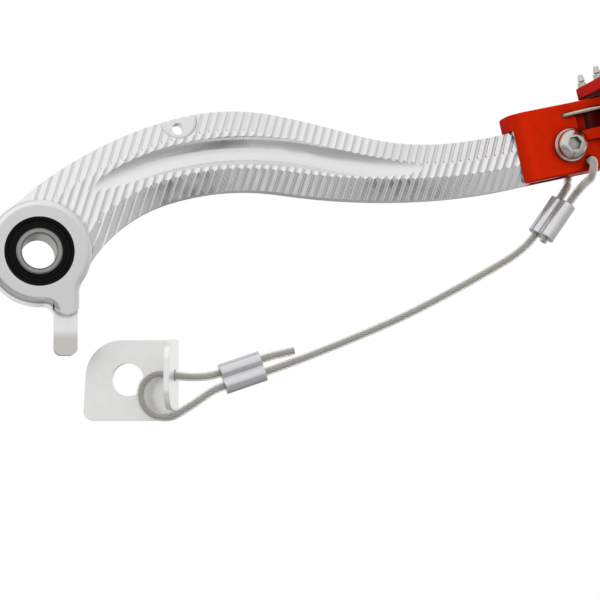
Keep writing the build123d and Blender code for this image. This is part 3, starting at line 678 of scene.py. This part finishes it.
# Clear vinyl: the strands show through where it is seen face on, and its edges are pale and glossy
@dataclass(frozen=True)
class ClearCoat:
    """Clear vinyl drawn over wire rope and cloudy in places, from thin face on to edge at its rim."""

    name: str = "clear_vinyl"
    colour: str = "F0EFEC"
    aged: str = "DEDBD0"
    rough: Span = (0.07, 0.15)
    ior: float = 1.5
    cloud: float = 4.0 * MM
    thin: float = 0.2
    edge: float = 0.9
    rim_blend: float = 0.35
    rim_limits: Span = (0.1, 0.65)

    def make(self) -> bpy.types.Material:
        """Builds the material.

        Returns:
            The finished material.
        """
        material, tree = new_material(self.name)
        place = add_node(tree, "TexCoord").outputs["Object"]
        cloud = add_node(
            tree, "TexNoise", {"Vector": place, "Scale": 1 / self.cloud, "Detail": 2.0}
        ).outputs["Fac"]
        tint = add_node(
            tree,
            "Mix",
            {"Factor": cloud, "A": linear(self.colour), "B": linear(self.aged)},
            data_type="RGBA",
        ).outputs["Result"]
        low, high = self.rough
        rough = add_node(
            tree,
            "MapRange",
            {"Value": cloud, "From Min": NOISE_LOW, "From Max": NOISE_HIGH, "To Min": low, "To Max": high},
        ).outputs["Result"]
        rim = add_node(tree, "LayerWeight", {"Blend": self.rim_blend}).outputs["Facing"]
        start, end = self.rim_limits
        cover = add_node(
            tree,
            "MapRange",
            {"Value": rim, "From Min": start, "From Max": end, "To Min": self.thin, "To Max": self.edge},
        ).outputs["Result"]
        shader = add_node(
            tree,
            "BsdfPrincipled",
            {"Base Color": tint, "Roughness": rough, "IOR": self.ior, "Alpha": cover},
        )
        add_node(tree, "OutputMaterial", {"Surface": shader.outputs["BSDF"]})
        return material


@dataclass(frozen=True)
class Ramp:
    """A soft change of brightness with the direction in the room.

    Attributes:
        axis: The axis along which it changes.
        start: The direction's share of that axis where the change starts.
        end: The share where it ends.
        at_start: Brightness up to the start, a number or another ramp.
        at_end: Brightness from the end on, a number or another ramp.
    """

    axis: Axis
    start: float
    end: float
    at_start: float | Ramp
    at_end: float | Ramp

    def add(self, tree: bpy.types.NodeTree, way: bpy.types.NodeOutputs) -> bpy.types.NodeSocket:
        """Adds the ramp's nodes, and those of the ramps in it.

        Args:
            tree: The world's nodes.
            way: The direction's three shares.

        Returns:
            The brightness.
        """
        first, last = (
            level.add(tree, way) if isinstance(level, Ramp) else level
            for level in (self.at_start, self.at_end)
        )
        return add_node(
            tree,
            "MapRange",
            {
                "Value": way[self.axis.value],
                "From Min": self.start,
                "From Max": self.end,
                "To Min": first,
                "To Max": last,
            },
            interpolation_type="SMOOTHSTEP",
        ).outputs["Result"]


@dataclass(frozen=True)
class Lamp:
    """A soft square lamp: where it stands, the length of its side and its power in watts."""

    name: str
    place: Point
    side: float
    power: float


@dataclass
class Studio:
    """White studio: camera at the photo's angle, soft lamps, pale floor and screens for metal to reflect.

    Attributes:
        camera_place: Where the camera stands.
        camera_target: What it and the lamps look at.
        focal_pixels: The lens's focal length in pixels of the picture.
        frame_pixels: The picture's width.
        sensor: The camera's sensor width in millimetres, as Blender counts it.
        clip_start: The nearest distance that the camera sees.
        lamps: The lamps.
        floor_place: The middle of the floor.
        floor_size: Its side.
        floor_lit: Its colour under the pedal, as the camera sees it.
        floor_dull: The colour that it throws back on the pedal.
        fade: Distances from its middle over which it turns white.
        even_light: Strength of the room's light on matt surfaces.
        front_sides: Screens in front, bright towards the boss and dimmer towards the tip.
        front_heights: How they darken towards the floor.
        tip_gap: A dim gap between them, low down and towards the tip.
        boss_gap: A half-dim gap between them, towards the boss.
        back_heights: Screens behind, which darken towards the floor.
        back_gap: A half-dim gap between them, low down and towards the tip.
        turn: The change from behind to in front.
    """

    camera_place: Point = (-17.92 * MM, -629.10 * MM, -54.14 * MM)
    camera_target: Point = (93.0 * MM, 0.0, -15.07 * MM)
    focal_pixels: float = 1784.0
    frame_pixels: float = 600.0
    sensor: float = 36.0
    clip_start: float = 0.01
    lamps: tuple[Lamp, ...] = (
        Lamp("key", place=(-0.35, -0.45, 0.75), side=0.8, power=2.4),
        Lamp("fill", place=(0.55, -0.55, 0.35), side=0.6, power=1.2),
        Lamp("rim", place=(0.15, 0.6, 0.5), side=0.6, power=0.5),
    )
    floor_place: Point = (0.09, 0.0, -0.16)
    floor_size: float = 6.0
    floor_lit: str = "DADADA"
    floor_dull: str = "CFCFCF"
    fade: Span = (0.12, 0.34)
    even_light: float = 0.93
    front_sides: Ramp = Ramp(Axis.X, -0.35, 0.85, 1.0, Ramp(Axis.Z, 0.0, 0.45, 0.55, 0.76))
    front_heights: Ramp = Ramp(Axis.Z, -0.85, -0.05, Ramp(Axis.X, 0.04, 0.14, 0.42, 0.6), 0.95)
    tip_gap: Ramp = Ramp(
        Axis.X, 0.172, 0.212, 1.0, Ramp(Axis.X, 0.26, 0.33, Ramp(Axis.Z, -0.15, -0.32, 1.0, 0.1), 1.0)
    )
    boss_gap: Ramp = Ramp(
        Axis.X, 0.08, -0.06, 1.0, Ramp(Axis.Z, -0.45, -0.7, Ramp(Axis.Z, 0.04, -0.16, 1.0, 0.45), 1.0)
    )
    back_heights: Ramp = Ramp(Axis.Z, -0.5, 0.0, 0.3, Ramp(Axis.X, -0.4, 0.4, 0.7, 0.95))
    back_gap: Ramp = Ramp(
        Axis.X, -0.02, 0.1, 1.0, Ramp(Axis.X, 0.28, 0.42, Ramp(Axis.Z, 0.1, -0.06, 1.0, 0.45), 1.0)
    )
    turn: Ramp = Ramp(Axis.Y, 0.2, -0.3, 0.0, 1.0)

    def build(self) -> None:
        """Makes the camera, lamps, floor and world."""
        self.make_camera()
        for lamp in self.lamps:
            self.make_lamp(lamp)
        self.make_floor()
        self.make_world()
        bpy.context.scene.view_settings.view_transform = "Standard"

    @staticmethod
    def aim(place: Point, target: Point) -> Euler:
        """The rotation that turns an object's -Z axis from place to target."""
        return (Vector(target) - Vector(place)).to_track_quat("-Z", "Y").to_euler()

    def make_camera(self) -> None:
        """Sets the camera at the photo's viewing angle."""
        data = bpy.data.cameras.new("photo_camera")
        data.sensor_width = self.sensor
        data.lens = self.sensor * self.focal_pixels / self.frame_pixels
        data.clip_start = self.clip_start
        camera = bpy.data.objects.new("photo_camera", data)
        camera.location = self.camera_place
        camera.rotation_euler = self.aim(self.camera_place, self.camera_target)
        bpy.context.collection.objects.link(camera)
        bpy.context.scene.camera = camera

    def make_lamp(self, lamp: Lamp) -> None:
        """Adds a lamp that points at the pedal and doesn't show in its reflections.

        Args:
            lamp: The lamp's settings.
        """
        data = bpy.data.lights.new(lamp.name, "AREA")
        data.size = lamp.side
        data.energy = lamp.power
        light = bpy.data.objects.new(lamp.name, data)
        light.location = lamp.place
        light.rotation_euler = self.aim(lamp.place, self.camera_target)
        light.visible_glossy = False
        bpy.context.collection.objects.link(light)

    def make_floor(self) -> None:
        """Lays a pale floor that keeps the pedal's shadow and fades to white away from it."""
        mesh = bpy.data.meshes.new("studio_floor")
        half = self.floor_size / 2
        corners = [(-half, -half, 0), (half, -half, 0), (half, half, 0), (-half, half, 0)]
        mesh.from_pydata(corners, [], [(0, 1, 2, 3)])
        mesh.materials.append(self.floor_material())
        floor = bpy.data.objects.new("studio_floor", mesh)
        floor.location = self.floor_place
        floor.visible_glossy = False
        bpy.context.collection.objects.link(floor)

    def floor_material(self) -> bpy.types.Material:
        """Makes the floor matt under the pedal and plain white further out.

        Returns:
            The floor's material.
        """
        # Matt white paint: it keeps a soft shadow and shows no edge
        material, tree = new_material("studio_white")
        place = add_node(tree, "TexCoord").outputs["Object"]
        reach = add_node(tree, "VectorMath", {0: place}, operation="LENGTH").outputs["Value"]
        start, end = self.fade
        fade = add_node(
            tree, "MapRange", {"Value": reach, "From Min": start, "From Max": end}
        ).outputs["Result"]
        lit = add_node(tree, "BsdfDiffuse", {"Color": linear(self.floor_lit)}).outputs["BSDF"]
        white = add_node(tree, "Emission", {"Color": linear(WHITE), "Strength": 1.0}).outputs["Emission"]
        seen = add_node(tree, "MixShader", {"Fac": fade, 1: lit, 2: white}).outputs["Shader"]
        dull = add_node(tree, "BsdfDiffuse", {"Color": linear(self.floor_dull)}).outputs["BSDF"]
        camera = add_node(tree, "LightPath").outputs["Is Camera Ray"]
        mixed = add_node(tree, "MixShader", {"Fac": camera, 1: dull, 2: seen}).outputs["Shader"]
        add_node(tree, "OutputMaterial", {"Surface": mixed})
        return material

    @staticmethod
    def add_screens(
        tree: bpy.types.NodeTree, way: bpy.types.NodeOutputs, *ramps: Ramp
    ) -> bpy.types.NodeSocket:
        """Adds the nodes of the screens on one side of the room.

        Args:
            tree: The world's nodes.
            way: The direction's three shares.
            *ramps: The screens and the gaps between them, which dim each other.

        Returns:
            The brightness on that side.
        """
        glow, *others = (ramp.add(tree, way) for ramp in ramps)
        for other in others:
            glow = add_node(tree, "Math", {0: glow, 1: other}, operation="MULTIPLY").outputs[0]
        return glow

    def make_world(self) -> None:
        """Lights the room evenly, white to the camera and with screens for metal to reflect."""
        world = bpy.data.worlds.new("studio")
        world.use_nodes = True
        bpy.context.scene.world = world
        tree = world.node_tree
        tree.nodes.clear()
        direction = add_node(tree, "TexCoord").outputs["Generated"]
        way = add_node(tree, "SeparateXYZ", {"Vector": direction}).outputs
        turn = self.turn.add(tree, way)
        back = self.add_screens(tree, way, self.back_heights, self.back_gap)
        front = self.add_screens(
            tree, way, self.front_sides, self.front_heights, self.tip_gap, self.boss_gap
        )
        glow = add_node(tree, "Mix", {"Factor": turn, "A": back, "B": front}).outputs["Result"]
        path = add_node(tree, "LightPath").outputs
        seen = add_node(
            tree, "Math", {0: path["Is Camera Ray"], 1: path["Is Transmission Ray"]}, operation="MAXIMUM"
        ).outputs[0]
        lit = add_node(
            tree, "Mix", {"Factor": path["Is Glossy Ray"], "A": self.even_light, "B": glow}
        ).outputs["Result"]
        strength = add_node(tree, "Mix", {"Factor": seen, "A": lit, "B": 1.0}).outputs["Result"]
        shine = add_node(tree, "Background", {"Color": linear(WHITE), "Strength": strength})
        add_node(tree, "OutputWorld", {"Surface": shine.outputs["Background"]})


@dataclass
class Tether:
    """Wire rope in a clear coat, from its end at the tip ferrule to its end at the bracket ferrule.

    Attributes:
        coat_radius: Radius of the coat.
        coat_rounding: Steps in each quarter of the coat's section, as Blender counts them.
        strand_radius: Radius of a strand.
        strand_ring: Distance from the rope's middle to the middle of a strand.
        strand_count: Number of strands around the core.
        strand_sides: Sides of a strand's section.
        lay_length: Length in which a strand goes once around the core.
        arc_share: Share of the shorter run at a corner that its arc takes up.
        arc_step: Angle between points on an arc.
        arc_steps_least: Fewest steps in an arc.
        line_step: Longest distance between points along the rope.
        route_mm: Corners of the route in millimetres, those of the part's own tube.
        exit_mm: Where the rope leaves the tip ferrule, in millimetres; not used.
        ferrule_nodes: The ferrules on the rope.
        bracket_nodes: The bracket at its far end.
    """

    coat_radius: float = 1.5 * MM
    coat_rounding: int = 5
    strand_radius: float = 0.4 * MM
    strand_ring: float = 0.66 * MM
    strand_count: int = 6
    strand_sides: int = 8
    lay_length: float = 11.0 * MM
    arc_share: float = 0.45
    arc_step: float = math.radians(7)
    arc_steps_least: int = 3
    line_step: float = 1.0 * MM
    route_mm: tuple[Point, ...] = (
        (183.20, -1.84, 7.18),
        (197.03, -1.84, 26.76),
        (198.4, -14.4, 30.2),
        (199.34, -13.2, 36.67),
        (199.34, 14.2, 36.67),
        (198.3, 15.3, 30.3),
        (194.51, 1.84, 28.54),
        (179.50, 1.84, 7.29),
        (173.0, 1.7, 1.9),
        (158.2, 1.3, -6.6),
        (131.6, 0.0, -20.7),
        (105.0, -1.4, -31.7),
        (91.3, -2.6, -36.95),
        (83.39, -3.5, -39.8),
        (61.61, -3.5, -47.2),
        (55.0, -3.5, -52.0),
        (46.2, -3.2, -57.4),
        (39.2, -1.6, -56.2),
        (35.9, -0.6, -51.2),
        (36.3, -0.6, -45.4),
        (40.6, -1.6, -41.6),
        (52.5, -2.8, -42.9),
        (60.06, -3.5, -42.66),
        (81.84, -3.5, -35.26),
        (90.2, -3.5, -33.4),
    )
    exit_mm: Point = (192.99, -1.84, 21.04)
    ferrule_nodes: tuple[str, ...] = ("tip_ferrule", "bracket_ferrule")
    bracket_nodes: tuple[str, ...] = ("tether_bracket",)

    def bend(self, before: Vector, corner: Vector, after: Vector) -> list[Vector]:
        """Rounds one corner of the route with the arc that the CAD tube has there.

        Args:
            before: The route's point before the corner.
            corner: The corner.
            after: The route's point after the corner.

        Returns:
            Points along the arc, from the run before to the run after.
        """
        arrive = corner - before
        leave = after - corner
        reach = self.arc_share * min(arrive.length, leave.length)
        turn = arrive.angle(leave)
        inwards = (leave.normalized() - arrive.normalized()).normalized()
        centre = corner + inwards * reach / math.sin(turn / 2)
        spoke = corner - arrive.normalized() * reach - centre
        axis = arrive.cross(leave)
        steps = max(self.arc_steps_least, math.ceil(turn / self.arc_step))
        return [centre + Matrix.Rotation(turn * i / steps, 3, axis) @ spoke for i in range(steps + 1)]

    def centre_line(self) -> list[Vector]:
        """Lays points closely along the route, its runs straight and its corners round.

        Returns:
            Points along the rope's middle.
        """
        route = [Vector(point) * MM for point in self.route_mm]
        knots = [route[0]]
        for before, corner, after in zip(route, route[1:], route[2:]):
            knots += self.bend(before, corner, after)
        knots.append(route[-1])
        line = [knots[0]]
        for start, end in zip(knots, knots[1:]):
            parts = max(1, math.ceil((end - start).length / self.line_step))
            line += [start.lerp(end, i / parts) for i in range(1, parts + 1)]
        return line

    def make_coat(self, line: list[Vector]) -> bpy.types.Object:
        """Runs the coat's tube along the line.

        Args:
            line: Points along the rope's middle.

        Returns:
            The tube's curve object.
        """
        data = bpy.data.curves.new("cable_coat", "CURVE")
        data.dimensions = "3D"
        data.bevel_depth = self.coat_radius
        data.bevel_resolution = self.coat_rounding
        data.use_fill_caps = True
        spline = data.splines.new("POLY")
        spline.points.add(len(line) - 1)
        for point, place in zip(spline.points, line):
            point.co = (*place, 1.0)
        spline.use_smooth = True
        data.materials.append(ClearCoat().make())
        coat = bpy.data.objects.new("cable_coat", data)
        bpy.context.collection.objects.link(coat)
        return coat

    @staticmethod
    def carry_frame(line: list[Vector]) -> list[tuple[Vector, Vector, Vector, float]]:
        """Carries a frame along the line without twist.

        Args:
            line: Points along the rope's middle.

        Returns:
            For each point: the point, two directions across the rope, and the length so far.
        """
        frames = []
        across = Vector((0, 1, 0))
        run = 0.0
        for index, point in enumerate(line):
            ahead = line[min(index + 1, len(line) - 1)] - line[max(index - 1, 0)]
            ahead.normalize()
            across = (across - ahead * across.dot(ahead)).normalized()
            if index:
                run += (point - line[index - 1]).length
            frames.append((point, across.copy(), ahead.cross(across), run))
        return frames

    def add_strand(
        self,
        mesh: bmesh.types.BMesh,
        frames: list[tuple[Vector, Vector, Vector, float]],
        offset: float,
        start: float,
    ) -> None:
        """Twists one strand around the line, closed at both ends.

        Args:
            mesh: The mesh to add it to.
            frames: The frames along the line.
            offset: The strand's distance from the rope's middle.
            start: Its angle at the rope's first end.
        """
        previous: list[bmesh.types.BMVert] = []
        for point, across, up, run in frames:
            turn = start + math.tau * run / self.lay_length
            middle = point + (across * math.cos(turn) + up * math.sin(turn)) * offset
            ring = []
            for side in range(self.strand_sides):
                angle = turn + math.tau * side / self.strand_sides
                reach = (across * math.cos(angle) + up * math.sin(angle)) * self.strand_radius
                ring.append(mesh.verts.new(middle + reach))
            if previous:
                for side in range(self.strand_sides):
                    after = (side + 1) % self.strand_sides
                    mesh.faces.new((previous[side], previous[after], ring[after], ring[side]))
            else:
                mesh.faces.new(list(reversed(ring)))
            previous = ring
        mesh.faces.new(previous)

    def make_strands(self, line: list[Vector]) -> bpy.types.Object:
        """Makes the strands and the core that they lie around.

        Args:
            line: Points along the rope's middle.

        Returns:
            The mesh object of all strands and the core.
        """
        frames = self.carry_frame(line)
        mesh = bmesh.new()
        for index in range(self.strand_count):
            self.add_strand(mesh, frames, self.strand_ring, math.tau * index / self.strand_count)
        self.add_strand(mesh, frames, 0.0, 0.0)
        data = bpy.data.meshes.new("cable_strands")
        mesh.normal_update()
        mesh.to_mesh(data)
        mesh.free()
        data.polygons.foreach_set("use_smooth", [True] * len(data.polygons))
        data.materials.append(GALVANISED_WIRE.make())
        strands = bpy.data.objects.new("cable_strands", data)
        bpy.context.collection.objects.link(strands)
        return strands

    def build(self, nodes: Nodes) -> list[str]:
        """Makes the rope and its coat, and dresses the pieces on it.

        Args:
            nodes: The frame's objects by node name.

        Returns:
            The names of the pieces.
        """
        line = self.centre_line()
        coat = self.make_coat(line)
        strands = self.make_strands(line)
        for piece in (coat, strands):
            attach(piece, Body.ARM.value)
        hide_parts("tether_cable")
        fittings = dress(nodes, self.ferrule_nodes, PRESSED_ALUMINIUM)
        fittings += dress(nodes, self.bracket_nodes, TUMBLED_STEEL)
        return [coat.name, strands.name, *fittings]


@dataclass
class PedalArm:
    """The milled arm with its boss and tail."""

    arm_nodes: tuple[str, ...] = ("pedal_arm",)

    def build(self, nodes: Nodes) -> list[str]:
        """Dresses the arm and returns its name."""
        return dress(nodes, self.arm_nodes, MilledAlloy())


@dataclass
class PivotBearing:
    """Sleeve, needle bearing and seals in the boss."""

    sleeve_nodes: tuple[str, ...] = ("pivot_sleeve",)
    bearing_nodes: tuple[str, ...] = ("needle_cup", "needle_cage", "needle_rollers")
    seal_nodes: tuple[str, ...] = ("outer_seal", "inner_seal")

    def build(self, nodes: Nodes) -> list[str]:
        """Dresses the bearing.

        Args:
            nodes: The frame's objects by node name.

        Returns:
            The names of the pieces.
        """
        names = dress(nodes, self.sleeve_nodes, TURNED_STEEL)
        names += dress(nodes, self.bearing_nodes, GROUND_STEEL)
        names += dress(nodes, self.seal_nodes, NitrileRubber())
        return names


@dataclass
class FoldingTip:
    """Carrier, folding pad, their fasteners and the spring."""

    red_nodes: tuple[str, ...] = ("tip_carrier", "tip_pad")
    steel_nodes: tuple[str, ...] = (
        "carrier_screw",
        "carrier_washer",
        "grip_studs",
        "tip_pivot_bolt",
        "tip_thrust_washer",
        "tip_locknut",
        "tip_stop_pin",
    )
    spring_nodes: tuple[str, ...] = ("tip_spring",)

    def build(self, nodes: Nodes) -> list[str]:
        """Dresses the tip.

        Args:
            nodes: The frame's objects by node name.

        Returns:
            The names of the pieces.
        """
        names = dress(nodes, self.red_nodes, RED_ANODISED)
        names += dress(nodes, self.steel_nodes, STAINLESS_STEEL)
        names += dress(nodes, self.spring_nodes, SPRING_WIRE)
        return names


def main() -> None:
    """Builds the scene in order and reports each piece."""
    logging.basicConfig(level=logging.INFO)
    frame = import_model()
    nodes = frame["nodes"]
    Studio().build()
    for assembly in (Tether(), PedalArm(), PivotBearing(), FoldingTip()):
        for piece in assembly.build(nodes):
            LOG.info("%s: %s", type(assembly).__name__, piece)


if __name__ == "__main__":
    main()
